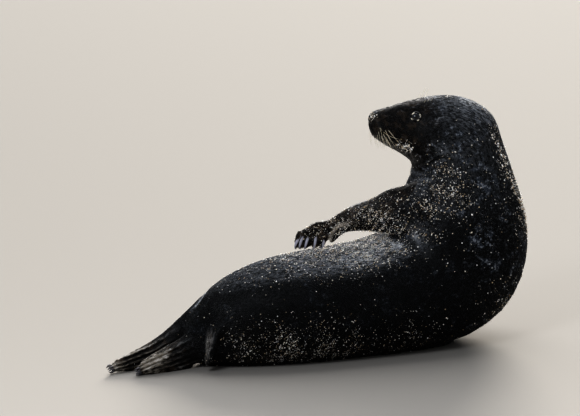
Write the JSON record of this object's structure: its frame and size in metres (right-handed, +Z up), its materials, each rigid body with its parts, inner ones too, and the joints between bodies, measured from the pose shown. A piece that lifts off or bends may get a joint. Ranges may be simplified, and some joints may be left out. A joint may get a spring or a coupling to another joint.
{
  "type": "grey seal",
  "caption": "Life-size still model of a young grey seal bull lying on its side, neck curled back, head looking towards its hind flippers.",
  "frame": {"origin": "on the trunk's flat underside, where the middle of the body lies on the floor", "axes": "+X from the hind flippers towards the chest, +Z up; the seal's back faces -Y and its head looks along -X"},
  "size_m": [1.4606, 0.6193, 0.839],
  "materials": {
    "coat": "short damp charcoal fur with faint grey mottles",
    "flipper_coat": "thin brown-black fur over skin",
    "claw": "lilac-grey horn, satin",
    "eye": "wet, almost black"
  },
  "bodies": {
    "root": {"head": "coat", "neck": "coat", "chest": "coat", "trunk": "coat", "hindquarters": "coat", "tail": "coat", "fore_flipper_left": "flipper_coat", "fore_flipper_right": "flipper_coat", "hind_flipper_left": "flipper_coat", "hind_flipper_right": "flipper_coat", "eye_left": "eye", "eye_right": "eye", "fore_flipper_left_claw_1": "claw", "fore_flipper_left_claw_2": "claw", "fore_flipper_left_claw_3": "claw", "fore_flipper_left_claw_4": "claw", "fore_flipper_left_claw_5": "claw", "fore_flipper_right_claw_1": "claw", "fore_flipper_right_claw_2": "claw", "fore_flipper_right_claw_3": "claw", "fore_flipper_right_claw_4": "claw", "fore_flipper_right_claw_5": "claw", "hind_flipper_left_claw_1": "claw", "hind_flipper_left_claw_2": "claw", "hind_flipper_left_claw_3": "claw", "hind_flipper_left_claw_4": "claw", "hind_flipper_left_claw_5": "claw", "hind_flipper_right_claw_1": "claw", "hind_flipper_right_claw_2": "claw", "hind_flipper_right_claw_3": "claw", "hind_flipper_right_claw_4": "claw", "hind_flipper_right_claw_5": "claw"}
  },
  "joints": []
}
